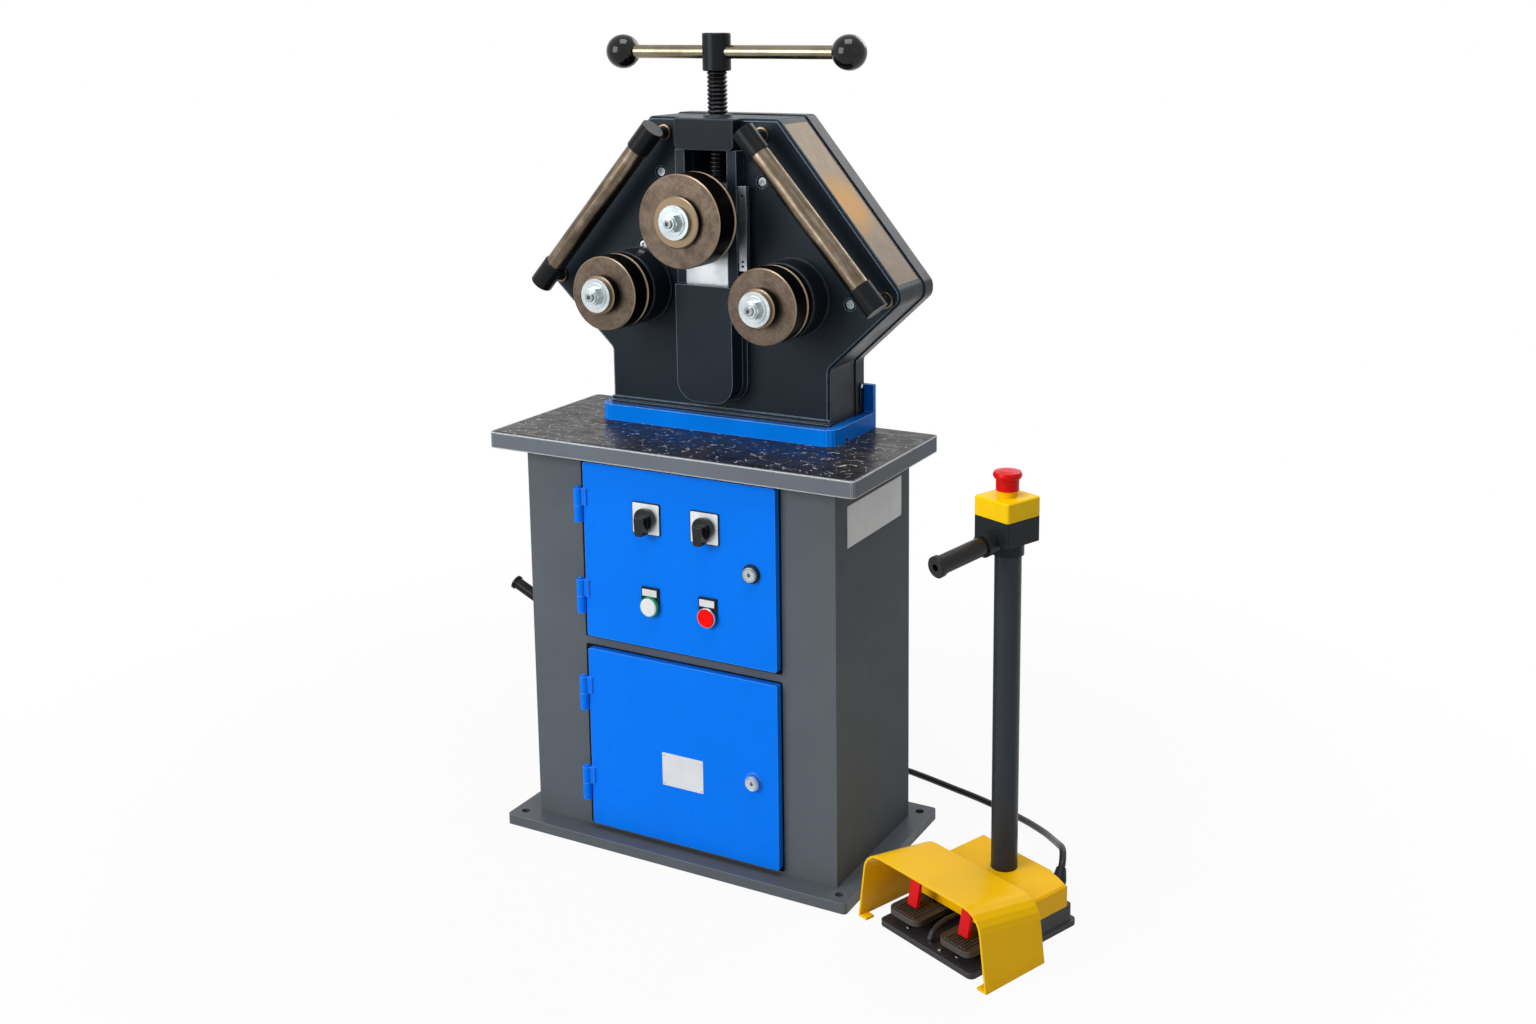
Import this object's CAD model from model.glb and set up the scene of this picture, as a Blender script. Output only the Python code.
import bpy
import bmesh
import math
from mathutils import Matrix, Vector


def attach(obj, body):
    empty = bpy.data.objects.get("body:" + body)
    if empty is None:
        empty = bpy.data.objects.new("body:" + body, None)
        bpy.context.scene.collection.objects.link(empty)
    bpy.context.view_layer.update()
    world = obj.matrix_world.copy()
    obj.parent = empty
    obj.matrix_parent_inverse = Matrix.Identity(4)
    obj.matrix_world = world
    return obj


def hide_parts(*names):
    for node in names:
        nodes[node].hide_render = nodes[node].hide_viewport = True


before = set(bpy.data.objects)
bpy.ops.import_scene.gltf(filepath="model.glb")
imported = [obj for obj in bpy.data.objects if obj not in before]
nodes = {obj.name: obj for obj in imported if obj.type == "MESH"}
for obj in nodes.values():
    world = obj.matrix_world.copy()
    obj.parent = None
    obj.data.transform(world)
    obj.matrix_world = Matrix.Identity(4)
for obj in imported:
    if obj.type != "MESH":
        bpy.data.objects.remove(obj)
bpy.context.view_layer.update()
mm = 0.001
print("frame loaded")

# Camera at the photograph's place: sensor 36 mm wide over 1536 pixels
cameraView = {
    "place": (1.25007, -2.01629, 1.23626),
    "right": (0.8908167, 0.45434071, -0.00448665),
    "down": (0.07243334, -0.15175306, -0.98576083),
    "ahead": (-0.44855214, 0.87780723, -0.16809357),
    "sensor": 36,
    "lens": 37.867,
    "shiftRight": -0.05012,
    "shiftUp": -0.13998,
    "nearest": 0.05,
    "farthest": 60,
}


def makeCamera(view):
    data = bpy.data.cameras.new("studioCamera")
    data.sensor_width = view["sensor"]
    data.lens = view["lens"]
    data.shift_x = view["shiftRight"]
    data.shift_y = view["shiftUp"]
    data.clip_start = view["nearest"]
    data.clip_end = view["farthest"]
    camera = bpy.data.objects.new("studioCamera", data)
    right, down, ahead = (Vector(view[key]) for key in ("right", "down", "ahead"))
    axes = Matrix((right, -down, -ahead)).transposed()
    camera.matrix_world = Matrix.Translation(Vector(view["place"])) @ axes.to_4x4()
    bpy.context.scene.collection.objects.link(camera)
    bpy.context.scene.camera = camera


makeCamera(cameraView)
bpy.context.scene.view_settings.view_transform = "Standard"
print("camera placed")


# Colours are sRGB hex codes, made linear here; a plain number is a grey level
def linear(code):
    if not isinstance(code, str):
        return [code, code, code, 1]
    parts = [int(code[i:i + 2], 16) / 255 for i in (1, 3, 5)]
    return [c / 12.92 if c <= 0.04045 else ((c + 0.055) / 1.055) ** 2.4 for c in parts] + [1]


# One node with its settings, inputs (values or sockets) and, on a ramp, its stops
def addNode(tree, kind, inputs=None, stops=(), **settings):
    made = tree.nodes.new("ShaderNode" + kind)
    for key, value in settings.items():
        setattr(made, key, value)
    for key, value in (inputs or {}).items():
        if isinstance(value, bpy.types.NodeSocket):
            tree.links.new(value, made.inputs[key])
        else:
            made.inputs[key].default_value = value
    for i, (place, shade) in enumerate(stops):
        element = made.color_ramp.elements[i] if i < 2 else made.color_ramp.elements.new(place)
        element.position = place
        element.color = linear(shade)
    return made


# A pattern's scale from its real size
def perMetre(sizeMm):
    return 1 / (sizeMm * mm)


# An empty material, its shader, and the place on the object in metres
def startMaterial(name, inputs):
    material = bpy.data.materials.new(name)
    material.use_nodes = True
    tree = material.node_tree
    tree.nodes.clear()
    shader = addNode(tree, "BsdfPrincipled", inputs)
    addNode(tree, "OutputMaterial", {"Surface": shader.outputs[0]})
    return material, tree, shader, addNode(tree, "TexCoord").outputs["Object"]


# Links each socket to the node's input of that name
def linkInputs(tree, node, sockets):
    for key, socket in sockets.items():
        tree.links.new(socket, node.inputs[key])


# Slow light and dark clouds over one colour
def cloudyColor(tree, place, color, cloudMm, detail, darkest, lightest):
    cloud = addNode(tree, "TexNoise", {"Vector": place, "Scale": perMetre(cloudMm), "Detail": detail})
    tone = addNode(tree, "ValToRGB", {"Fac": cloud.outputs["Fac"]}, [(0.3, darkest), (0.7, lightest)])
    return addNode(tree, "Mix", {0: 1.0, 6: linear(color), 7: tone.outputs[0]}, data_type="RGBA",
                   blend_type="MULTIPLY").outputs[2]


# Halfway between a fine pattern and a coarse one
def halfway(tree, fine, coarse):
    both = addNode(tree, "Math", {0: fine.outputs["Fac"], 1: coarse.outputs["Fac"]}, operation="ADD")
    return addNode(tree, "Math", {0: both.outputs[0], 1: 0.5}, operation="MULTIPLY").outputs[0]


# A light line where a bevelled normal leaves the flat one: worn or polished edges catch more light.
# The line is full where the two normals' cosine is lineAt's first value, and gone at its second
bevelSamples = 4
lineAt = (0.93, 0.995)


def litEdge(tree, edge, color, edgeColor, strength):
    flat = addNode(tree, "NewGeometry").outputs["Normal"]
    bend = addNode(tree, "VectorMath", {0: edge.outputs[0], 1: flat}, operation="DOT_PRODUCT")
    onEdge = addNode(tree, "ValToRGB", {"Fac": bend.outputs["Value"]}, zip(lineAt, (strength, 0.0)))
    return addNode(tree, "Mix", {0: onEdge.outputs[0], 6: color, 7: linear(edgeColor)},
                   data_type="RGBA").outputs[2]


# Powder coat or enamel on sheet steel: fine orange peel at its real size, slow cloudy tone, smears of
# duller shine, a light line on its edges
paintLook = {
    "shine": 0.2, "edgeLine": 0.5, "edgeMm": 1.2, "peelMm": 1.1, "peelDepth": 0.02, "cloudMm": 90,
    "mottle": 0.06, "smearMm": 25, "smearAt": (0.3, 0.75), "smearShares": (0.88, 1.15),
}


def paintedSteel(name, color, edgeColor, roughness=0.35, **changes):
    look = {**paintLook, **changes}
    material, tree, shader, place = startMaterial(name, {
        "Base Color": linear(color), "Roughness": roughness, "Specular IOR Level": look["shine"],
    })
    tinted = cloudyColor(tree, place, color, look["cloudMm"], 3, 1 - look["mottle"], 1 + look["mottle"] / 2)
    smear = addNode(tree, "TexNoise", {"Vector": place, "Scale": perMetre(look["smearMm"]), "Detail": 4})
    dull = addNode(tree, "ValToRGB", {"Fac": smear.outputs["Fac"]},
                   [(at, roughness * share) for at, share in zip(look["smearAt"], look["smearShares"])])
    peel = addNode(tree, "TexNoise", {"Vector": place, "Scale": perMetre(look["peelMm"]), "Detail": 2})
    edge = addNode(tree, "Bevel", {"Radius": look["edgeMm"] * mm}, samples=bevelSamples)
    bump = addNode(tree, "Bump", {"Strength": 0.6, "Distance": look["peelDepth"] * mm,
                                  "Height": peel.outputs["Fac"], "Normal": edge.outputs[0]})
    linkInputs(tree, shader, {
        "Base Color": litEdge(tree, edge, tinted, edgeColor, look["edgeLine"]),
        "Roughness": dull.outputs[0], "Normal": bump.outputs[0],
    })
    return material


# Moulded plastic or rubber: even colour, spark-eroded grain, rounded glints. The real grain is about
# 0.1 mm, too fine to show, and is drawn at 0.5 mm and more
plasticLook = {
    "shine": 0.3, "grainMm": 0.5, "grainDepth": 0.01, "toneMm": 40, "tones": (0.95, 1.03), "edgeMm": 0.6,
    "coat": 0.0, "edgeColor": None, "edgeLine": 0.6,
}


def mouldedPlastic(name, color, roughness=0.3, **changes):
    look = {**plasticLook, **changes}
    material, tree, shader, place = startMaterial(name, {
        "Base Color": linear(color), "Roughness": roughness, "Specular IOR Level": look["shine"],
        "Coat Weight": look["coat"], "Coat Roughness": 0.05,
    })
    shade = cloudyColor(tree, place, color, look["toneMm"], 2, *look["tones"])
    grain = addNode(tree, "TexNoise", {"Vector": place, "Scale": perMetre(look["grainMm"]), "Detail": 2})
    bump = addNode(tree, "Bump", {"Strength": 0.5, "Distance": look["grainDepth"] * mm,
                                  "Height": grain.outputs["Fac"]})
    if look["edgeMm"]:
        edge = addNode(tree, "Bevel", {"Radius": look["edgeMm"] * mm}, samples=bevelSamples)
        linkInputs(tree, bump, {"Normal": edge.outputs[0]})
        if look["edgeColor"]:
            shade = litEdge(tree, edge, shade, look["edgeColor"], look["edgeLine"])
    linkInputs(tree, shader, {"Base Color": shade, "Normal": bump.outputs[0]})
    return material


# Bare or plated steel: brushed streaks along one axis, patches of duller shine. Real brush lines are
# under 0.1 mm apart, too fine to show, and are drawn at 0.5 mm and more
steelLook = {
    "streak": (1, 1, 1), "streakMm": 0.6, "patchMm": 30, "depth": 0.008, "edgeMm": 0.6,
    "shadeAt": (0.36, 0.62), "dullAt": (0.3, 0.7), "dullShares": (1.35, 0.8),
}


def bareSteel(name, color, darker, roughness=0.32, **changes):
    look = {**steelLook, **changes}
    material, tree, shader, place = startMaterial(name, {
        "Base Color": linear(color), "Metallic": 1.0, "Roughness": roughness,
    })
    along = addNode(tree, "Mapping", {"Vector": place, "Scale": look["streak"]})
    fine = addNode(tree, "TexNoise", {"Vector": along.outputs[0], "Scale": perMetre(look["streakMm"]),
                                      "Detail": 4})
    patch = addNode(tree, "TexNoise", {"Vector": place, "Scale": perMetre(look["patchMm"]), "Detail": 4})
    worn = halfway(tree, fine, patch)
    shade = addNode(tree, "ValToRGB", {"Fac": worn}, zip(look["shadeAt"], (darker, color)))
    dull = addNode(tree, "ValToRGB", {"Fac": worn},
                   [(at, roughness * share) for at, share in zip(look["dullAt"], look["dullShares"])])
    bump = addNode(tree, "Bump", {"Strength": 0.6, "Distance": look["depth"] * mm,
                                  "Height": fine.outputs["Fac"]})
    if look["edgeMm"]:
        edge = addNode(tree, "Bevel", {"Radius": look["edgeMm"] * mm}, samples=bevelSamples)
        linkInputs(tree, bump, {"Normal": edge.outputs[0]})
    linkInputs(tree, shader, {
        "Base Color": shade.outputs[0], "Roughness": dull.outputs[0], "Normal": bump.outputs[0],
    })
    return material


# Roll turned from tool steel: brown faces with ring marks, worn coppery rims, black oiled treads. Real
# turning marks are 0.2 mm apart, too fine to show, and are drawn at 1.1 mm. The tilts are how far a
# normal points along the roll's axis on its rims and on its faces
rollLook = {
    "face": "#65584D", "faceDark": "#463D35", "faceAt": (0.4, 0.6), "hub": "#746450", "rim": "#8F7D6A",
    "tread": "#17130F", "ringMm": 1.1, "ringDepth": 0.015, "ringShare": 0.3, "grainMm": 1.4, "patchMm": 16,
    "dullAt": (0.35, 0.65), "dull": (0.5, 0.34), "rimTilt": 0.3, "faceTilt": 0.9, "hubEdge": 0.2,
}


def turnedRoll(name, axisX, axisZ, hubRadius):
    look = rollLook
    material, tree, shader, place = startMaterial(name, {
        "Base Color": linear(look["face"]), "Metallic": 1.0, "Roughness": 0.42,
    })
    fromAxis = addNode(tree, "VectorMath", {0: place, 1: (axisX, 0, axisZ)}, operation="SUBTRACT")
    flat = addNode(tree, "VectorMath", {0: fromAxis.outputs[0], 1: (1, 0, 1)}, operation="MULTIPLY")
    reach = addNode(tree, "VectorMath", {0: flat.outputs[0]}, operation="LENGTH").outputs["Value"]
    normal = addNode(tree, "SeparateXYZ", {0: addNode(tree, "NewGeometry").outputs["True Normal"]})
    facing = addNode(tree, "Math", {0: normal.outputs["Y"]}, operation="ABSOLUTE").outputs[0]
    turns = addNode(tree, "Math", {0: reach, 1: 2 * math.pi * perMetre(look["ringMm"])}, operation="MULTIPLY")
    rings = addNode(tree, "Math", {0: turns.outputs[0]}, operation="SINE")
    grain = addNode(tree, "TexNoise", {"Vector": place, "Scale": perMetre(look["grainMm"]), "Detail": 5,
                                       "Roughness": 0.7})
    patch = addNode(tree, "TexNoise", {"Vector": place, "Scale": perMetre(look["patchMm"]), "Detail": 5,
                                       "Roughness": 0.65})
    worn = halfway(tree, grain, patch)
    face = addNode(tree, "ValToRGB", {"Fac": worn}, zip(look["faceAt"], (look["faceDark"], look["face"])))
    onHub = addNode(tree, "Math", {0: reach, 1: (hubRadius + look["hubEdge"]) * mm}, operation="LESS_THAN")
    faces = addNode(tree, "Mix", {0: onHub.outputs[0], 6: face.outputs[0], 7: linear(look["hub"])},
                    data_type="RGBA")
    isRim = addNode(tree, "Math", {0: facing, 1: look["rimTilt"]}, operation="GREATER_THAN")
    edges = addNode(tree, "Mix", {0: isRim.outputs[0], 6: linear(look["tread"]), 7: linear(look["rim"])},
                    data_type="RGBA")
    isFace = addNode(tree, "Math", {0: facing, 1: look["faceTilt"]}, operation="GREATER_THAN")
    shade = addNode(tree, "Mix", {0: isFace.outputs[0], 6: edges.outputs[2], 7: faces.outputs[2]},
                    data_type="RGBA")
    dull = addNode(tree, "ValToRGB", {"Fac": worn}, zip(look["dullAt"], look["dull"]))
    ridge = addNode(tree, "Math", {0: rings.outputs[0], 1: look["ringShare"], 2: grain.outputs["Fac"]},
                    operation="MULTIPLY_ADD")
    bump = addNode(tree, "Bump", {"Strength": 0.5, "Distance": look["ringDepth"] * mm,
                                  "Height": ridge.outputs[0]})
    linkInputs(tree, shader, {
        "Base Color": shade.outputs[2], "Roughness": dull.outputs[0], "Normal": bump.outputs[0],
    })
    return material


# Embossed and painted sheet on the table: dark satin skin, streaky as if wiped, with thin raised worms
# that catch the light and a few pale specks. The worms are a net of cells, bent and broken into strokes
matLook = {
    "color": "#1B1918", "sheen": "#2B2724", "sheenAt": (0.42, 0.6), "high": "#D2CBC2", "speck": "#F2EFEA",
    "wormMm": 20, "wormEdge": (0.012, 0.034), "bendMm": 16, "warpMm": 11, "breakMm": 14,
    "breakAt": (0.53, 0.58), "speckMm": 13, "speckEdge": (0.08, 0.11), "swirlMm": 26, "swirlStretch": 0.4,
    "swirlTwist": 1.6, "swirlHeight": 1.6, "dullAt": (0.4, 0.62), "dull": (0.24, 0.42), "depth": 1.3,
}


def embossedMat(name, look):
    material, tree, shader, place = startMaterial(name, {
        "Base Color": linear(look["color"]), "Metallic": 0.0, "Roughness": 0.3, "Specular IOR Level": 0.15,
    })
    warp = addNode(tree, "TexNoise", {"Vector": place, "Scale": perMetre(look["warpMm"]), "Detail": 2})
    bend = look["bendMm"] * mm
    bent = addNode(tree, "VectorMath", {0: warp.outputs["Color"], 1: (bend, bend, 0), 2: place},
                   operation="MULTIPLY_ADD")
    cells = addNode(tree, "TexVoronoi", {"Vector": bent.outputs[0], "Scale": perMetre(look["wormMm"])},
                    feature="DISTANCE_TO_EDGE")
    worm = addNode(tree, "ValToRGB", {"Fac": cells.outputs["Distance"]}, zip(look["wormEdge"], (1.0, 0.0)))
    gaps = addNode(tree, "TexNoise", {"Vector": place, "Scale": perMetre(look["breakMm"]), "Detail": 2})
    broken = addNode(tree, "ValToRGB", {"Fac": gaps.outputs["Fac"]}, zip(look["breakAt"], (0.0, 1.0)))
    raised = addNode(tree, "Math", {0: worm.outputs[0], 1: broken.outputs[0]},
                     operation="MULTIPLY").outputs[0]
    along = addNode(tree, "Mapping", {"Vector": place, "Scale": (look["swirlStretch"], 1, 1)})
    swirl = addNode(tree, "TexNoise", {"Vector": along.outputs[0], "Scale": perMetre(look["swirlMm"]),
                                       "Detail": 5, "Distortion": look["swirlTwist"]}).outputs["Fac"]
    height = addNode(tree, "Math", {0: swirl, 1: look["swirlHeight"], 2: raised}, operation="MULTIPLY_ADD")
    skin = addNode(tree, "ValToRGB", {"Fac": swirl}, zip(look["sheenAt"], (look["color"], look["sheen"])))
    dull = addNode(tree, "ValToRGB", {"Fac": swirl}, zip(look["dullAt"], look["dull"]))
    shade = addNode(tree, "Mix", {0: raised, 6: skin.outputs[0], 7: linear(look["high"])}, data_type="RGBA")
    dots = addNode(tree, "TexVoronoi", {"Vector": place, "Scale": perMetre(look["speckMm"])})
    speck = addNode(tree, "ValToRGB", {"Fac": dots.outputs["Distance"]}, zip(look["speckEdge"], (1.0, 0.0)))
    specked = addNode(tree, "Mix", {0: speck.outputs[0], 6: shade.outputs[2], 7: linear(look["speck"])},
                      data_type="RGBA")
    bump = addNode(tree, "Bump", {"Strength": 0.9, "Distance": look["depth"] * mm,
                                  "Height": height.outputs[0]})
    linkInputs(tree, shader, {
        "Base Color": specked.outputs[2], "Roughness": dull.outputs[0], "Normal": bump.outputs[0],
    })
    return material


# Bronzed steel tube: brown oxide with long bright drawn streaks that follow each leaning tube. Real
# drawing lines are too fine to show, and are drawn 5 mm wide
tubeLook = {
    "dark": "#51473B", "color": "#695D4F", "bright": "#8A7D6D", "shadeAt": (0.38, 0.5, 0.62), "streakMm": 5,
    "stretch": 16, "leanDegrees": -41.04, "patchMm": 30, "dullAt": (0.35, 0.65), "dull": (0.34, 0.26),
    "depth": 0.004,
}


def bronzedTube(name, look):
    material, tree, shader, place = startMaterial(name, {
        "Base Color": linear(look["color"]), "Metallic": 1.0, "Roughness": 0.3,
    })
    mirrored = addNode(tree, "VectorMath", {0: place}, operation="ABSOLUTE")
    along = addNode(tree, "Mapping", {"Vector": mirrored.outputs[0], "Scale": (1, 1, look["stretch"]),
                                      "Rotation": (0, math.radians(look["leanDegrees"]), 0)},
                    vector_type="TEXTURE")
    streak = addNode(tree, "TexNoise", {"Vector": along.outputs[0], "Scale": perMetre(look["streakMm"]),
                                        "Detail": 5, "Roughness": 0.65})
    patch = addNode(tree, "TexNoise", {"Vector": place, "Scale": perMetre(look["patchMm"]), "Detail": 5,
                                       "Roughness": 0.7})
    worn = halfway(tree, streak, patch)
    shade = addNode(tree, "ValToRGB", {"Fac": worn},
                    zip(look["shadeAt"], (look["dark"], look["color"], look["bright"])))
    dull = addNode(tree, "ValToRGB", {"Fac": worn}, zip(look["dullAt"], look["dull"]))
    bump = addNode(tree, "Bump", {"Strength": 0.3, "Distance": look["depth"] * mm,
                                  "Height": streak.outputs["Fac"]})
    linkInputs(tree, shader, {
        "Base Color": shade.outputs[0], "Roughness": dull.outputs[0], "Normal": bump.outputs[0],
    })
    return material


# Bare steel side of the casting: brown scale, duller towards its lower end, an ochre stain across its
# middle and rust along its back edge. Places are in metres
sideLook = {
    "color": "#84735D", "dark": "#675843", "shadeAt": (0.32, 0.66), "grainMm": 3, "patchMm": 28,
    "patchShare": 0.6, "depth": 0.03, "stain": "#A0700A", "stainPlace": (0.203, 0.035, 0.975),
    "stainEdge": (0.05, 0.085), "stainRagged": 0.05, "stainStrength": 0.85, "rust": "#8E6232",
    "rustFrom": (0.076, 0.081), "rustStrength": 0.7, "dullFrom": (0.9, 1.0), "dullTone": 0.72,
}


def scaledSteel(name, look):
    material, tree, shader, place = startMaterial(name, {
        "Base Color": linear(look["color"]), "Metallic": 0.45, "Roughness": 0.5,
    })
    grain = addNode(tree, "TexNoise", {"Vector": place, "Scale": perMetre(look["grainMm"]), "Detail": 6,
                                       "Roughness": 0.7})
    patch = addNode(tree, "TexNoise", {"Vector": place, "Scale": perMetre(look["patchMm"]), "Detail": 5,
                                       "Roughness": 0.65})
    mixed = addNode(tree, "Mix", {0: look["patchShare"], 2: grain.outputs["Fac"], 3: patch.outputs["Fac"]})
    base = addNode(tree, "ValToRGB", {"Fac": mixed.outputs[0]},
                   zip(look["shadeAt"], (look["dark"], look["color"])))
    away = addNode(tree, "VectorMath", {0: place, 1: look["stainPlace"]}, operation="DISTANCE")
    ragged = addNode(tree, "Math", {0: patch.outputs["Fac"], 1: look["stainRagged"],
                                    2: away.outputs["Value"]}, operation="MULTIPLY_ADD")
    stain = addNode(tree, "ValToRGB", {"Fac": ragged.outputs[0]},
                    zip(look["stainEdge"], (look["stainStrength"], 0.0)))
    axes = addNode(tree, "SeparateXYZ", {0: place})
    low, high = look["dullFrom"]
    tone = addNode(tree, "MapRange", {"Value": axes.outputs["Z"], "From Min": low, "From Max": high,
                                      "To Min": look["dullTone"], "To Max": 1.0})
    toned = addNode(tree, "VectorMath", {0: base.outputs[0], "Scale": tone.outputs[0]}, operation="SCALE")
    near, far = look["rustFrom"]
    rusty = addNode(tree, "MapRange", {"Value": axes.outputs["Y"], "From Min": near, "From Max": far,
                                       "To Min": 0.0, "To Max": look["rustStrength"]})
    rusted = addNode(tree, "Mix", {0: rusty.outputs[0], 6: toned.outputs[0], 7: linear(look["rust"])},
                     data_type="RGBA")
    shade = addNode(tree, "Mix", {0: stain.outputs[0], 6: rusted.outputs[2], 7: linear(look["stain"])},
                    data_type="RGBA")
    bump = addNode(tree, "Bump", {"Strength": 0.6, "Distance": look["depth"] * mm,
                                  "Height": grain.outputs["Fac"]})
    linkInputs(tree, shader, {"Base Color": shade.outputs[2], "Normal": bump.outputs[0]})
    return material


steels = {
    # Zinc plated: cool bright metal with soft grey patches
    "zinc": bareSteel("zincPlatedSteel", "#CFD8DA", "#8E989C", 0.26),
    # Surface ground: fine level lines across a bright face
    "slide": bareSteel("groundSlideSteel", "#C9CED2", "#9DA3A8", 0.3, streak=(1, 1, 12)),
    # Brushed sheet: upright lines, a little softer
    "scale": bareSteel("brushedScaleSteel", "#C6CCD2", "#868C92", 0.34, streak=(8, 8, 1)),
    # Turned bar: mid grey with clear glints
    "shaft": bareSteel("turnedShaftSteel", "#A9AFB2", "#6D7376", 0.28),
    # Hobbed and oiled: darker and duller
    "gear": bareSteel("cutGearSteel", "#8D9295", "#55595C", 0.38),
    # Drawn and polished: warm bright metal with lines along the bar
    "bar": bareSteel("polishedBarSteel", "#8C8470", "#6C6553", 0.2, streak=(0.04, 1, 1), streakMm=2.4),
    # Bronzed: brown oxide that glints on its round edges
    "eye": bareSteel("bronzedEyeSteel", "#7E6E5A", "#4C4236", 0.3, edgeMm=0.4),
    # Rolled and oiled: nearly black, and only the crests catch light
    "thread": bareSteel("oiledThreadSteel", "#3C3E41", "#1C1D1F", 0.3),
    # Hot dip galvanised: pale and matt with 4 mm spangles
    "sheet": bareSteel("galvanisedSheet", "#B9BEC1", "#8D9396", 0.4, streakMm=4),
    # Anodised aluminium: even pale satin with faint lines across
    "switch": bareSteel("anodisedSwitchFace", "#DDE0E2", "#C3C7CA", 0.42, streak=(0.1, 1, 1), streakMm=0.5,
                        patchMm=20, depth=0.004, edgeMm=0),
}
paints = {
    # Gloss enamel on folded sheet: even, strong blue, paler where edges are worn
    "blue": paintedSteel("glossBlueEnamel", "#0078F4", "#7CBCFF", 0.3, shine=0.06, edgeLine=0.7, mottle=0.03),
    # Gloss enamel on the cast base: brighter, with nearly white edges
    "base": paintedSteel("glossBlueBaseEnamel", "#0086FF", "#C4E0FF", 0.26, shine=0.04, edgeLine=0.85,
                         mottle=0.03, edgeMm=1.6),
    # Satin powder coat on folded sheet: soft grey that hardly shines
    "grey": paintedSteel("satinGreyPaint", "#5E646A", "#9CA2AA", 0.5, shine=0.03),
    # Satin powder coat on the floor plate: a little more shine than the cabinet's
    "plate": paintedSteel("floorPlateGreyPaint", "#565B61", "#A8ADB4", 0.4, shine=0.22),
    # Satin powder coat on the table: hands and work polish its rim to a bright line
    "table": paintedSteel("tableRimPaint", "#6A7179", "#FFFFFF", 0.34, shine=0.05, edgeLine=1.0, edgeMm=3.2),
    # Satin enamel on fettled casting: blue black and cloudy, with pale bluish edges
    "head": paintedSteel("satinBlackCasting", "#1D262F", "#9DB4CC", 0.38, shine=0.12, edgeLine=0.8,
                         peelMm=1.6, peelDepth=0.012, mottle=0.12, edgeMm=1.8),
    # Gloss enamel on the sheet cover: clearer sheen, fainter edges
    "cover": paintedSteel("glossBlackCover", "#1A2027", "#6C7885", 0.3, shine=0.1, peelMm=1.4,
                          peelDepth=0.008, mottle=0.1, edgeMm=1.8),
    # Satin enamel on the milled bridge: its edges look rounded
    "bridge": paintedSteel("satinBlackBridge", "#10181F", "#74818F", 0.34, shine=0.1, edgeMm=4),
    # Enamel on small turned fittings: plain black with grey edges
    "black": paintedSteel("blackEnamel", "#141619", "#5A6067", 0.3, shine=0.12),
    # Powder coat on drawn tube: one long soft highlight
    "post": paintedSteel("satinBlackTube", "#30363E", "#4C535C", 0.34, shine=0.16),
    # Paint on rough aluminium castings: dull and pebbled
    "motor": paintedSteel("castMotorPaint", "#3A3E42", "#6B7075", 0.5, shine=0.3, peelMm=2.0, peelDepth=0.05,
                          mottle=0.15),
    # Gloss powder coat on bent sheet: warm yellow, lemon on its edges
    "yellow": paintedSteel("glossYellowPowderCoat", "#FFC604", "#FFF050", 0.32, shine=0.08, peelMm=1.2,
                           peelDepth=0.006, mottle=0.02, edgeLine=0.8),
}
plastics = {
    # Moulded polyamide: satin, very dark grey
    "black": mouldedPlastic("blackMouldedPlastic", "#202327", 0.34, shine=0.12),
    # Polished phenolic resin: deep black with sharp reflections
    "gloss": mouldedPlastic("polishedBlackPhenolic", "#08090A", 0.12, grainMm=2.0, grainDepth=0.004, edgeMm=0,
                            shine=0.25, coat=0.12),
    # Gloss moulded switch knobs and latch: black with grey worn edges
    "knob": mouldedPlastic("glossBlackKnob", "#0C0E10", 0.18, edgeMm=1.0, coat=0.3, shine=0.2,
                           edgeColor="#4A5058"),
    # Moulded caps and ring: even colour, soft glints
    "white": mouldedPlastic("whiteButtonCap", "#E4E8E9", 0.3, shine=0.15),
    "red": mouldedPlastic("redButtonCap", "#FF0A0A", 0.3, shine=0.06),
    "mushroom": mouldedPlastic("redStopCap", "#D80404", 0.26, edgeMm=0.8, shine=0.14),
    "green": mouldedPlastic("greenRing", "#1F9E6B", 0.35),
    # Moulded polycarbonate lid and polyamide pedal body: the lid a cooler yellow than the body
    "lid": mouldedPlastic("yellowStopBox", "#FFCE00", 0.3, edgeMm=1.2, shine=0.12),
    "yellow": mouldedPlastic("yellowPedalBody", "#FFC408", 0.32, edgeMm=1.4, shine=0.1),
    # Moulded lever: red with softly rounded edges
    "lever": mouldedPlastic("redLever", "#E0121A", 0.28, shine=0.12, edgeMm=2.5),
    # Moulded treads: brown black, scuffed pale on every rib
    "pedal": mouldedPlastic("blackTreadPlastic", "#474341", 0.5, grainMm=0.8, grainDepth=0.02, edgeMm=0.7,
                            shine=0.2, edgeColor="#A29B94"),
    # Moulded pedal base: dull black, grey along its edges
    "base": mouldedPlastic("blackPedalBase", "#353437", 0.42, grainMm=0.8, grainDepth=0.02, edgeMm=1.2,
                           shine=0.2, edgeColor="#7C7F85"),
    # Moulded rubber grip: deep black with a slight polish from hands
    "grip": mouldedPlastic("blackGripRubber", "#121110", 0.3, grainMm=0.8, edgeMm=0.8, coat=0.1, shine=0.2),
    # Extruded jacket: even black satin
    "cable": mouldedPlastic("blackCableJacket", "#16171A", 0.4, edgeMm=0),
    # Foam rubber seal: takes nearly all light
    "seal": mouldedPlastic("blackSealRubber", "#060708", 0.6, shine=0.08, edgeMm=0),
    # Blank film: pale and matt
    "label": mouldedPlastic("whiteBlankLabel", "#DDE0E2", 0.4),
}
mat = embossedMat("embossedTableMat", matLook)
side = scaledSteel("millScaledSide", sideLook)

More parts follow.
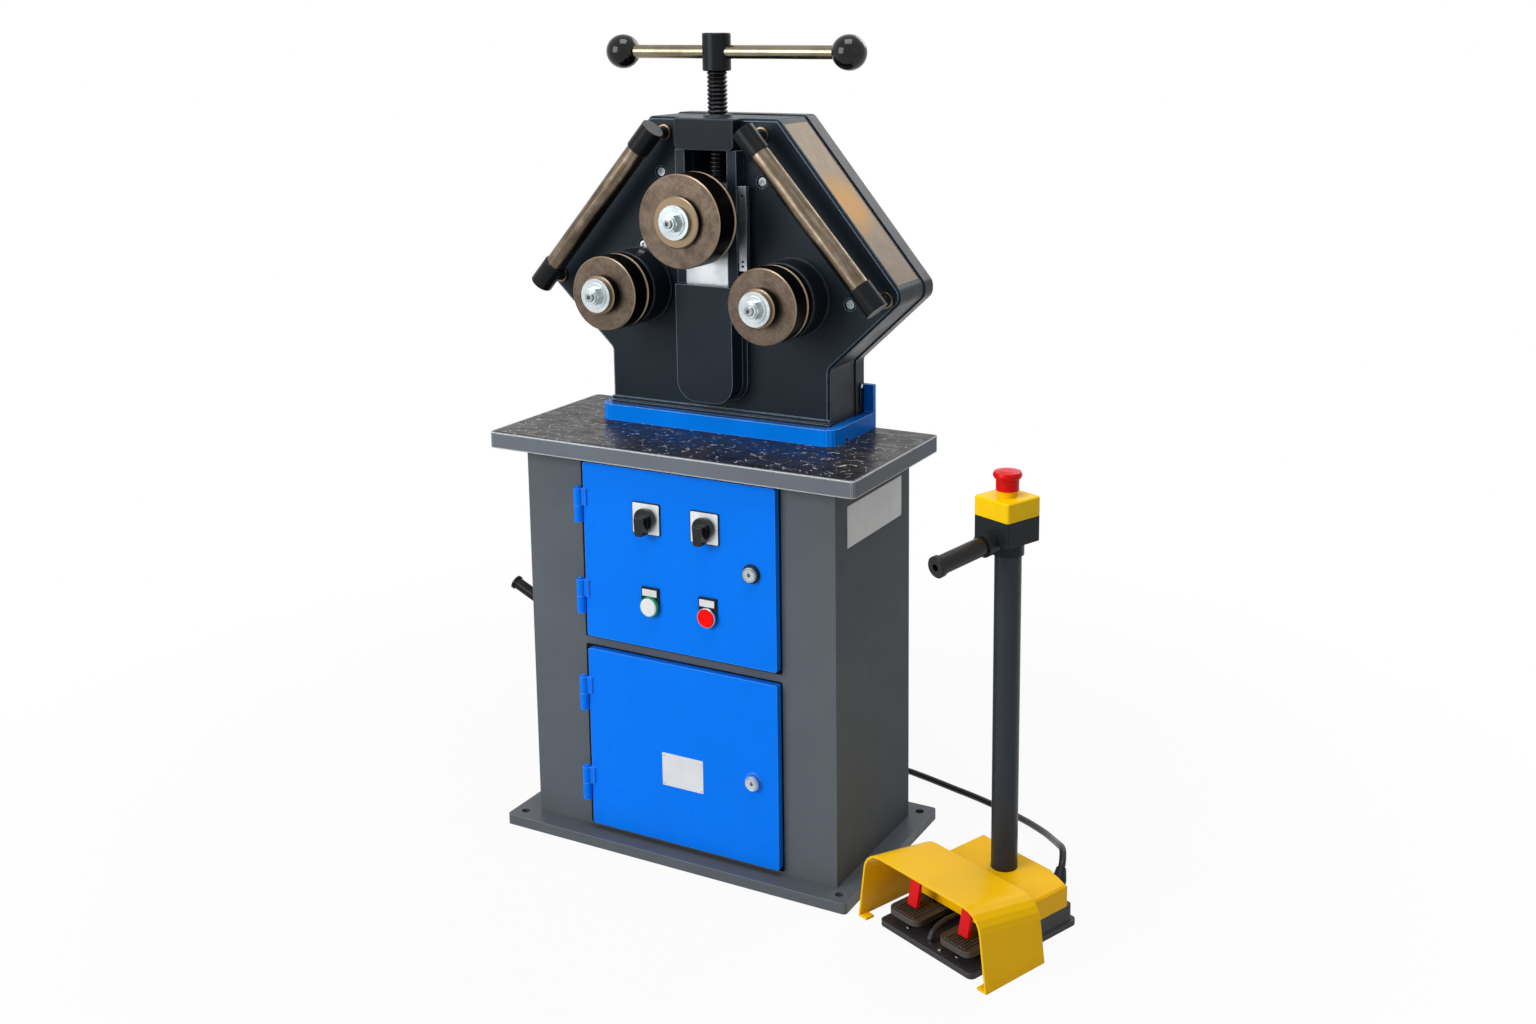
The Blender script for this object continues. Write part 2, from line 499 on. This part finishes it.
# Each roll's axis, across and up, and the radius of its hub
rollAxes = {"upper": (0, 956, 37.5), "left": (-134, 842.5, 29), "right": (134, 842.5, 29)}
rolls = {f"{key}_roll": turnedRoll(f"{key}RollSteel", x * mm, z * mm, hub)
         for key, (x, z, hub) in rollAxes.items()}
print("materials made")

finishes = {
    "floor_plate": paints["plate"], "cabinet_shell": paints["grey"], "back_panel": paints["grey"],
    "table_top": paints["table"], "hinge_knuckles": paints["blue"], "control_plate": steels["sheet"],
    "storage_peg": paints["black"], "cable_glands": plastics["black"], "base_block": paints["base"],
    "front_casting": paints["head"], "rear_cover": paints["cover"], "head_bolts": steels["zinc"],
    "bridge_block": paints["bridge"], "guide_rails": paints["head"], "apron_cover": paints["head"],
    "scale_strip": steels["scale"], "grab_sockets": paints["black"],
    "grab_tubes": bronzedTube("bronzedGrabTube", tubeLook),
    "bearing_housings": paints["cover"], "gear_case": paints["motor"], "drive_motor": paints["motor"],
    "drive_pinion": steels["gear"], "upper_door": paints["blue"], "control_fittings": plastics["black"],
    "left_switch_knob": plastics["knob"], "right_switch_knob": plastics["knob"],
    "start_button": plastics["white"], "stop_button": plastics["red"], "upper_lock": steels["zinc"],
    "lower_door": paints["blue"], "lower_lock": steels["zinc"], "slide_block": steels["slide"],
    "lead_screw": steels["thread"], "handle_hub": paints["black"], "tommy_bar": steels["bar"],
    "ball_knobs": plastics["gloss"], "upper_shaft": steels["shaft"], "upper_nut": steels["zinc"],
    "left_shaft": steels["shaft"], "left_nut": steels["zinc"], "right_shaft": steels["shaft"],
    "right_nut": steels["zinc"], "pedal_base": plastics["base"], "pedal_cover": plastics["yellow"],
    "pedal_hood": paints["yellow"], "left_pedal": plastics["pedal"], "right_pedal": plastics["pedal"],
    "left_lever": plastics["lever"], "right_lever": plastics["lever"], "stop_post": paints["post"],
    "stop_box": plastics["black"], "stop_box_lid": plastics["lid"], "stop_grip": plastics["grip"],
    "stop_mushroom": plastics["mushroom"], "cable_lead": plastics["cable"],
    "cable_coil": plastics["cable"], "cable_run": plastics["cable"], **rolls,
}
for name, material in finishes.items():
    for materialSlot in nodes[name].material_slots:
        materialSlot.material = material
print("CAD nodes painted")

# Pieces built in mesh code, in millimetres: edges bevelled where bevelMm is given, normals smoothed up
# to smoothDegrees, and round shapes with so many sides
softEdge = {"segments": 2, "degrees": 40}
smoothDegrees = 35
cornerSteps = 5
ringSides = 64
headSides = 24


def addPiece(name, mesh, material, body, bevelMm=0.0):
    piece = bpy.data.objects.new(name, mesh)
    bpy.context.scene.collection.objects.link(piece)
    mesh.materials.append(material)
    if bevelMm:
        edge = piece.modifiers.new("softEdges", "BEVEL")
        edge.width = bevelMm * mm
        edge.segments = softEdge["segments"]
        edge.limit_method = "ANGLE"
        edge.angle_limit = math.radians(softEdge["degrees"])
    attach(piece, body)


def meshFrom(name, points, faces):
    mesh = bpy.data.meshes.new(name)
    mesh.from_pydata([Vector(p) for p in points], [], faces)
    work = bmesh.new()
    work.from_mesh(mesh)
    bmesh.ops.recalc_face_normals(work, faces=work.faces)
    work.to_mesh(mesh)
    work.free()
    mesh.shade_smooth()
    mesh.set_sharp_from_angle(angle=math.radians(smoothDegrees))
    return mesh


# A plate with this outline, from one level to another over the face that toWorld stands for
def slab(name, outline, low, high, toWorld):
    count = len(outline)
    points = [toWorld(a, b, level) for level in (low, high) for a, b in outline]
    faces = [list(range(count))[::-1], list(range(count, 2 * count))]
    faces += [[i, (i + 1) % count, count + (i + 1) % count, count + i] for i in range(count)]
    return meshFrom(name, points, faces)


# The same with a hole, whose outline has as many points
def ringSlab(name, outline, inner, low, high, toWorld):
    count = len(outline)
    points = [toWorld(a, b, level) for ring in (outline, inner) for level in (low, high) for a, b in ring]
    faces = []
    for first, second in ((0, 1), (1, 3), (3, 2), (2, 0)):
        for i in range(count):
            j = (i + 1) % count
            faces.append([first * count + i, first * count + j, second * count + j, second * count + i])
    return meshFrom(name, points, faces)


def roundedOutline(x0, y0, x1, y1, radius):
    corners = [(x1 - radius, y1 - radius, 0), (x0 + radius, y1 - radius, 90),
               (x0 + radius, y0 + radius, 180), (x1 - radius, y0 + radius, 270)]
    outline = []
    for cx, cy, start in corners:
        for i in range(cornerSteps + 1):
            angle = math.radians(start + 90 * i / cornerSteps)
            outline.append((cx + radius * math.cos(angle), cy + radius * math.sin(angle)))
    return outline


# A turned shape from (radius, height) points: closed for a ring, open for a solid head
def lathe(name, profile, toWorld, sides=ringSides, closed=True):
    points = []
    for radius, along in profile:
        for i in range(sides):
            angle = 2 * math.pi * i / sides
            points.append(toWorld(radius * math.cos(angle), radius * math.sin(angle), along))
    rows = len(profile)
    faces = []
    for row in range(rows if closed else rows - 1):
        after = (row + 1) % rows
        for i in range(sides):
            j = (i + 1) % sides
            faces.append([row * sides + i, row * sides + j, after * sides + j, after * sides + i])
    if not closed:
        faces.append(list(range(sides)))
        faces.append([(rows - 1) * sides + i for i in range(sides)][::-1])
    return meshFrom(name, points, faces)


# A ring's section: each corner is cut by steps, as (away from its side, down from its top)
def ringProfile(ring):
    outer, inner, foot, top = ring["outer"], ring["inner"], ring["foot"], ring["top"]
    profile = [(outer, foot)]
    profile += [(outer - away, top - down) for away, down in ring["outerCuts"]]
    profile += [(inner + away, top - down) for away, down in ring["innerCuts"]]
    return profile + [(inner + away, foot + up) for away, up in ring["footCuts"]]


# A domed screw, bolt or rivet head: steps are shares of its radius with heights over its foot
def addHead(name, head, foot, toWorld, material, body):
    tip = 0.05
    profile = [(max(tip, head["radius"] * share), foot + rise) for share, rise in head["steps"]]
    addPiece(name, lathe(name, profile, toWorld, headSides, False), material, body)


# Places on a face that looks to the front, or to the right
def frontFace(cx, cz, y):
    return lambda a, b, level: ((cx + a) * mm, (y - level) * mm, (cz + b) * mm)


def rightFace(x, cy=0, cz=0):
    return lambda a, b, level: ((x + level) * mm, (cy + a) * mm, (cz + b) * mm)


# Cable: glands' faces, the coil behind the cabinet and the run to the pedal unit, in millimetres
cable = {
    "radius": 5, "coilRadius": 55, "pitch": 10.6, "turnsIn": 2, "turnsClimb": 0.5, "turnsOut": 2.25,
    "pointsPerTurn": 24, "roundSteps": 6, "coilPlace": (0, 305), "leadFace": (65.6, 144, 90),
    "leadDrop": [
        (12, 90), (28, 87), (41, 77), (50, 62), (54, 46), (57, 30), (67, 16), (82, 8), (100, 5), (122, 5),
    ],
    "route": [
        (36, 237, 16.5), (62, 240, 17.5), (90, 247, 15.5), (116, 256, 11.5), (140, 264, 8), (165, 271, 5.5),
        (191, 275, 5), (224, 268, 5), (258, 259, 5), (290, 250, 5), (320, 242, 5), (352, 232, 5),
        (384, 219, 6), (414, 203, 8.5), (442, 182, 14), (465, 160, 20.5), (485, 138, 27.5), (502, 114, 36),
        (516, 90, 46), (528, 67, 56.5), (538.5, 45, 67), (548.5, 26, 75.5), (556.5, 10, 78.5),
    ],
    "glandFoot": (66, 193, 46), "glandLean": 50, "glandHeading": 120, "glandLength": 31,
}
pedalUnit = {"x": 431.6, "y": -190.5, "turn": -22.34}


# A place in the pedal unit's own axes, which are turned on the floor
def pedalPoint(u, v, z):
    turn = math.radians(pedalUnit["turn"])
    return (
        (pedalUnit["x"] + u * math.cos(turn) - v * math.sin(turn)) * mm,
        (pedalUnit["y"] + u * math.sin(turn) + v * math.cos(turn)) * mm,
        z * mm,
    )


# From 0 to 1 with a slow start and end
def eased(share):
    share = min(1, max(0, share))
    return share * share * (3 - 2 * share)


# The coil winds in on the floor, climbs one cable's thickness and winds out on top
def coilPoint(spec, turns):
    middle = spec["turnsIn"] + spec["turnsClimb"] / 2
    outer = spec["coilRadius"] + spec["pitch"] * spec["turnsIn"] / 2
    radius = outer - spec["pitch"] * min(turns, 2 * middle - turns)
    height = spec["radius"] + spec["pitch"] * eased((turns - spec["turnsIn"]) / spec["turnsClimb"])
    angle = 2 * math.pi * turns
    return Vector((spec["coilPlace"][0] + radius * math.cos(angle),
                   spec["coilPlace"][1] + radius * math.sin(angle), height))


# A smooth curve through the points
def smoothed(points, steps=5):
    out = []
    for i in range(len(points) - 1):
        before = points[max(0, i - 1)]
        after = points[min(len(points) - 1, i + 2)]
        a, b = points[i], points[i + 1]
        for k in range(steps):
            t = k / steps
            out.append(0.5 * ((2 * a) + (b - before) * t + (2 * before - 5 * a + 4 * b - after) * t * t
                              + (3 * a - before - 3 * b + after) * t ** 3))
    return out + [points[-1]]


def cablePath(spec):
    turnsAll = spec["turnsIn"] + spec["turnsClimb"] + spec["turnsOut"]
    count = round(turnsAll * spec["pointsPerTurn"])
    turns = [coilPoint(spec, turnsAll * i / count) for i in range(count + 1)]
    face = Vector(spec["leadFace"])
    thick = 2 * spec["radius"]
    lead = [face] + [Vector((face.x, face.y + far, high)) for far, high in spec["leadDrop"]]
    lead += [turns[0] - Vector((0, 2 * thick, 0)), turns[0] - Vector((0, thick, 0))]
    lean, heading = math.radians(spec["glandLean"]), math.radians(spec["glandHeading"])
    way = (math.sin(lean) * math.cos(heading), math.sin(lean) * math.sin(heading), math.cos(lean))
    foot = spec["glandFoot"]
    end, tail = (
        Vector(pedalPoint(*(foot[k] + way[k] * reach for k in range(3)))) / mm
        for reach in (spec["glandLength"], spec["glandLength"] + thick)
    )
    run = [turns[-1] + Vector((thick, 0, 0))] + [Vector(p) for p in spec["route"]] + [tail, end]
    return [p * mm for p in smoothed(lead) + smoothed(turns, 2) + smoothed(run)]


def makeCable(spec):
    path = cablePath(spec)
    data = bpy.data.curves.new("pedalCable", "CURVE")
    data.dimensions = "3D"
    data.bevel_depth = spec["radius"] * mm
    data.bevel_resolution = spec["roundSteps"]
    spline = data.splines.new("POLY")
    spline.points.add(len(path) - 1)
    for point, place in zip(spline.points, path):
        point.co = (*place, 1)
    spline.use_smooth = True
    data.materials.append(plastics["cable"])
    piece = bpy.data.objects.new("pedalCable", data)
    bpy.context.scene.collection.objects.link(piece)
    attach(piece, "root")
    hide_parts("cable_lead", "cable_coil", "cable_run")


makeCable(cable)
print("cable laid")

# Embossed mat let into the table's top
table = {
    "x": 309, "y0": -150, "y1": 130, "z": 628, "inset": 5, "corner": 5, "sunk": 0.2, "skin": 0.5, "soft": 0.3,
}


def makeTable(spec):
    x, inset = spec["x"] - spec["inset"], spec["inset"]
    outline = roundedOutline(-x, spec["y0"] + inset, x, spec["y1"] - inset, spec["corner"])
    flat = lambda a, b, level: (a * mm, b * mm, (spec["z"] + level) * mm)
    addPiece("tableMat", slab("tableMat", outline, -spec["sunk"], spec["skin"], flat), mat, "root",
             spec["soft"])


makeTable(table)
print("mat laid")

# Bare side of the casting, along the slope from the top's corner down to the wing
bareSide = {
    "top": (110, 1099), "wing": (303, 862), "y0": 12, "y1": 81, "inset": 10, "corner": 2, "sunk": 0.2,
    "proud": 0.35, "soft": 0.15,
}


def makeBareSide(spec):
    (x0, z0), (x1, z1) = spec["top"], spec["wing"]
    run = math.hypot(x1 - x0, z1 - z0)
    wayX, wayZ = (x1 - x0) / run, (z1 - z0) / run
    outX, outZ = -wayZ, wayX
    onSlope = lambda a, b, level: (
        (x0 + wayX * a + outX * level) * mm, b * mm, (z0 + wayZ * a + outZ * level) * mm,
    )
    outline = roundedOutline(spec["inset"], spec["y0"], run - spec["inset"], spec["y1"], spec["corner"])
    addPiece("castingBareSide", slab("castingBareSide", outline, -spec["sunk"], spec["proud"], onSlope), side,
             "root", spec["soft"])


makeBareSide(bareSide)
print("bare side made")

# Bronzed eyes on the feet of the grab tubes, a black latch with its screw on the cover's side, a six
# sided plug in the base, and bolts on the pedal unit's base
headFittings = {
    "eye": {"feet": ((-83.22, 1075.7), (83.22, 1075.7), (-280.78, 848.8), (280.78, 848.8)), "y": 6.9,
            "inner": 8.1, "outer": 12.3, "foot": 0, "top": 4.4, "outerCuts": ((0, 1.4), (0.5, 0.4), (1.5, 0)),
            "innerCuts": ((1, 0), (0, 0.8)), "footCuts": ((0, 0),)},
    "latch": {"x": 191.9, "y": (100, 110), "z": (664, 700), "corner": 4.5, "sunk": 0.3, "proud": 2.2,
              "soft": 0.5},
    "latchScrew": {"y": 105, "z": 696, "radius": 3.4, "steps": ((1, -0.1), (0.9, 0.7), (0.5, 1.2), (0, 1.3))},
    "plug": {"x": 205.95, "y": 32, "z": 632.5, "radius": 3.6, "sides": 6, "sunk": 0.1, "proud": 0.3},
    "pedalBolt": {"places": ((-46.4, 15.6), (21.1, 10.4), (48.2, 16.4)), "z": 8, "radius": 3.6,
                  "steps": ((1, -0.1), (1, 0.8), (0.7, 1.9), (0, 2.1))},
}


def makeHeadFittings(spec):
    eye, latch, screw, plug, bolt = (spec[key] for key in ("eye", "latch", "latchScrew", "plug", "pedalBolt"))
    for i, (x, z) in enumerate(eye["feet"]):
        name = f"grabEye{i + 1}"
        addPiece(name, lathe(name, ringProfile(eye), frontFace(x, z, eye["y"])), steels["eye"], "root")
    outline = roundedOutline(latch["y"][0], latch["z"][0], latch["y"][1], latch["z"][1], latch["corner"])
    addPiece("coverLatch", slab("coverLatch", outline, -latch["sunk"], latch["proud"], rightFace(latch["x"])),
             plastics["knob"], "root", latch["soft"])
    onLatch = rightFace(latch["x"], screw["y"], screw["z"])
    addHead("latchScrew", screw, latch["proud"], onLatch, steels["zinc"], "root")
    angles = [2 * math.pi * i / plug["sides"] for i in range(plug["sides"])]
    outline = [(plug["radius"] * math.cos(angle), plug["radius"] * math.sin(angle)) for angle in angles]
    onBase = rightFace(plug["x"], plug["y"], plug["z"])
    addPiece("basePlug", slab("basePlug", outline, -plug["sunk"], plug["proud"], onBase), paints["black"],
             "root")
    for i, (u, v) in enumerate(bolt["places"]):
        onPedal = lambda a, b, level: pedalPoint(u + a, v + b, bolt["z"] + level)
        addHead(f"pedalBaseBolt{i + 1}", bolt, 0, onPedal, steels["shaft"], "root")


makeHeadFittings(headFittings)
print("head fittings made")

# Blank switch plates and legend plates on the upper door, rings round its buttons and both doors' locks
controls = {
    "doorY": -135.5, "sunk": 0.1,
    "switch": {"x": (-36.4, 63.1), "z": 525.6, "plateProud": 2, "face": 45.5, "corner": 2, "skin": 0.22,
               "shaftHole": 8, "longSide": 5, "sideParts": 6},
    "buttons": {"x": (-32, 66.4), "z": 393.2, "outer": 15.1, "inner": 13.75, "foot": 3.05, "top": 8.1,
                "outerCuts": ((0, 0.9), (0.3, 0.3), (0.7, 0)), "innerCuts": ((0, 0),),
                "footCuts": ((0, 0.5), (0.5, 0))},
    "legend": {"up": 21.05, "wide": 25, "high": 10.5, "corner": 1, "plateProud": 4.2, "skin": 0.3,
               "soft": 0.1},
    "locks": {"places": (("upper_door", 139, 469), ("lower_door", 138, 155)), "outer": 11.6, "inner": 9.15,
              "foot": 2.05, "top": 7.6, "outerCuts": ((0, 0.9), (0.9, 0)), "innerCuts": ((0.6, 0), (0, 0.7)),
              "footCuts": ((0, 0),)},
}


# The outline with its long sides split, so that a round hole in it stays round
def denser(outline, longSide, parts):
    out = []
    for (a, b), (c, d) in zip(outline, outline[1:] + outline[:1]):
        steps = parts if math.hypot(c - a, d - b) > longSide else 1
        out += [(a + (c - a) * k / steps, b + (d - b) * k / steps) for k in range(steps)]
    return out


def makeControls(spec):
    doorY, sunk = spec["doorY"], spec["sunk"]
    switch, buttons, legend, locks = (spec[key] for key in ("switch", "buttons", "legend", "locks"))
    half = switch["face"] / 2
    outline = denser(roundedOutline(-half, -half, half, half, switch["corner"]), switch["longSide"],
                     switch["sideParts"])
    shares = [switch["shaftHole"] / math.hypot(a, b) for a, b in outline]
    hole = [(a * share, b * share) for (a, b), share in zip(outline, shares)]
    for sideName, x in zip(("left", "right"), switch["x"]):
        front = frontFace(x, switch["z"], doorY - switch["plateProud"])
        name = f"{sideName}SwitchFace"
        addPiece(name, ringSlab(name, outline, hole, -sunk, switch["skin"], front), steels["switch"],
                 "upper_door")
    w, h = legend["wide"] / 2, legend["high"] / 2
    outline = roundedOutline(-w, -h, w, h, legend["corner"])
    for buttonName, x, material in zip(("start", "stop"), buttons["x"], (plastics["green"], steels["zinc"])):
        name = f"{buttonName}ButtonRing"
        addPiece(name, lathe(name, ringProfile(buttons), frontFace(x, buttons["z"], doorY)), material,
                 "upper_door")
        label = frontFace(x, buttons["z"] + legend["up"], doorY - legend["plateProud"])
        name = f"{buttonName}LegendFace"
        addPiece(name, slab(name, outline, -sunk, legend["skin"], label), plastics["label"], "upper_door",
                 legend["soft"])
    for body, x, z in locks["places"]:
        name = body.replace("_door", "LockRing")
        addPiece(name, lathe(name, ringProfile(locks), frontFace(x, z, doorY)), steels["zinc"], body)


makeControls(controls)
print("door fittings made")

# Black rubber seals on the cabinet's face: each shows as a dark line round its door
doorSeals = {
    "x": (-148, 178), "z": ((328, 597.4), (26, 308)), "faceY": -123.5, "sunk": 0.1, "thick": 0.9, "gap": 0.3,
    "left": 11.6, "right": 2.4, "below": 6.2, "above": 2.0, "corner": 3,
}


def makeDoorSeals(spec):
    (x0, x1), gap, corner = spec["x"], spec["gap"], spec["corner"]
    front = frontFace(0, 0, spec["faceY"])
    for name, (z0, z1) in zip(("upperDoorSeal", "lowerDoorSeal"), spec["z"]):
        inner = roundedOutline(x0 - gap, z0 - gap, x1 + gap, z1 + gap, corner)
        outer = roundedOutline(x0 - spec["left"], z0 - spec["below"], x1 + spec["right"], z1 + spec["above"],
                               corner)
        addPiece(name, ringSlab(name, outer, inner, -spec["sunk"], spec["thick"], front), plastics["seal"],
                 "root")


makeDoorSeals(doorSeals)
print("door seals made")

# Pale blank plates: one on the lower door with four rivets, one on the cabinet's right side
blankPlates = {
    "sunk": 0.1, "soft": 0.2,
    "door": {"x": (-19, 52), "z": (117, 168), "corner": 1.5, "thick": 0.8},
    "rivet": {"inset": 3.5, "radius": 1.7, "steps": ((1, -0.05), (0.9, 0.5), (0.5, 0.9), (0, 1.0))},
    "side": {"x": 266, "y": (-87, 90), "z": (510, 571), "corner": 2, "thick": 0.6},
}


def makeBlankPlates(spec):
    door, rivet, panel = spec["door"], spec["rivet"], spec["side"]
    (x0, x1), (z0, z1) = door["x"], door["z"]
    outline = roundedOutline(x0, z0, x1, z1, door["corner"])
    front = frontFace(0, 0, controls["doorY"])
    addPiece("doorBlankPlate", slab("doorBlankPlate", outline, -spec["sunk"], door["thick"], front),
             plastics["label"], "lower_door", spec["soft"])
    inset = rivet["inset"]
    places = [(x, z) for x in (x0 + inset, x1 - inset) for z in (z0 + inset, z1 - inset)]
    for i, (x, z) in enumerate(places):
        addHead(f"doorPlateRivet{i + 1}", rivet, door["thick"], frontFace(x, z, controls["doorY"]),
                steels["zinc"], "lower_door")
    outline = roundedOutline(panel["y"][0], panel["z"][0], panel["y"][1], panel["z"][1], panel["corner"])
    onSide = rightFace(panel["x"])
    addPiece("sideBlankPlate", slab("sideBlankPlate", outline, -spec["sunk"], panel["thick"], onSide),
             plastics["label"], "root", spec["soft"])


makeBlankPlates(blankPlates)
print("blank plates made")

# Studio: pale floor and surround that look white to the camera, and soft square lamps round the
# machine. Each lamp has its place, its side in metres and its power in watts
studio = {
    "floor": "#CFCFCD", "floorTone": "#D3D3D1", "floorShine": 0.1, "floorHalf": 14, "cloudMm": 400,
    "whiten": (0.93, 1.0), "fade": (0.7, 1.4), "surround": 0.25, "seen": 1.0, "aim": (0.05, -0.05, 0.65),
    "lamps": [
        ("keyLamp", (-1.6, -3.2, 1.9), 2.2, 96),
        ("topLamp", (0.3, -0.6, 3.6), 1.6, 56),
        ("fillLamp", (3.2, -1.2, 1.8), 1.8, 2),
        ("backLamp", (0.6, 2.6, 2.4), 1.6, 26),
    ],
}


# Strength 1 for a ray from the camera, off a shiny surface or through glass, and 0 for others
def seenRays(tree):
    ray = addNode(tree, "LightPath")
    shown = addNode(tree, "Math", {0: ray.outputs["Is Camera Ray"], 1: ray.outputs["Is Glossy Ray"]},
                    operation="MAXIMUM")
    return addNode(tree, "Math", {0: shown.outputs[0], 1: ray.outputs["Is Transmission Ray"]},
                   operation="MAXIMUM").outputs[0]


def makeStudio(spec):
    world = bpy.data.worlds.new("studioWorld")
    world.use_nodes = True
    tree = world.node_tree
    tree.nodes.clear()
    power = addNode(tree, "Mix", {0: seenRays(tree), 2: spec["surround"], 3: spec["seen"]})
    light = addNode(tree, "Background", {"Color": linear(1.0), "Strength": power.outputs[0]})
    addNode(tree, "OutputWorld", {"Surface": light.outputs[0]})
    bpy.context.scene.world = world
    for name, place, size, power in spec["lamps"]:
        data = bpy.data.lights.new(name, "AREA")
        data.shape = "SQUARE"
        data.size = size
        data.energy = power
        lamp = bpy.data.objects.new(name, data)
        lamp.location = place
        way = Vector(spec["aim"]) - Vector(place)
        lamp.rotation_mode = "QUATERNION"
        lamp.rotation_quaternion = way.to_track_quat("-Z", "Y")
        bpy.context.scene.collection.objects.link(lamp)


# Matt floor paint: keeps the shadow near the machine, and turns white away from it
def makeFloor(spec):
    material, tree, shader, place = startMaterial("paleFloorPaint", {
        "Roughness": 0.7, "Specular IOR Level": spec["floorShine"],
    })
    cloud = addNode(tree, "TexNoise", {"Vector": place, "Scale": perMetre(spec["cloudMm"]), "Detail": 2})
    tone = addNode(tree, "ValToRGB", {"Fac": cloud.outputs["Fac"]},
                   [(0.3, spec["floor"]), (0.7, spec["floorTone"])])
    linkInputs(tree, shader, {"Base Color": tone.outputs[0]})
    away = addNode(tree, "VectorMath", {0: place}, operation="LENGTH").outputs["Value"]
    near, far = spec["fade"]
    nearWhite, farWhite = spec["whiten"]
    white = addNode(tree, "MapRange", {"Value": away, "From Min": near, "From Max": far,
                                       "To Min": nearWhite, "To Max": farWhite})
    share = addNode(tree, "Math", {0: white.outputs[0], 1: seenRays(tree)}, operation="MULTIPLY")
    glow = addNode(tree, "Emission", {"Color": linear(1.0), "Strength": 1.0})
    mixed = addNode(tree, "MixShader", {0: share.outputs[0], 1: shader.outputs[0], 2: glow.outputs[0]})
    output = next(one for one in tree.nodes if one.type == "OUTPUT_MATERIAL")
    linkInputs(tree, output, {"Surface": mixed.outputs[0]})
    half = spec["floorHalf"]
    corners = [(-half, -half, 0), (half, -half, 0), (half, half, 0), (-half, half, 0)]
    mesh = meshFrom("studioFloor", corners, [[0, 1, 2, 3]])
    mesh.materials.append(material)
    floor = bpy.data.objects.new("studioFloor", mesh)
    bpy.context.scene.collection.objects.link(floor)


makeStudio(studio)
makeFloor(studio)
print("studio lit")
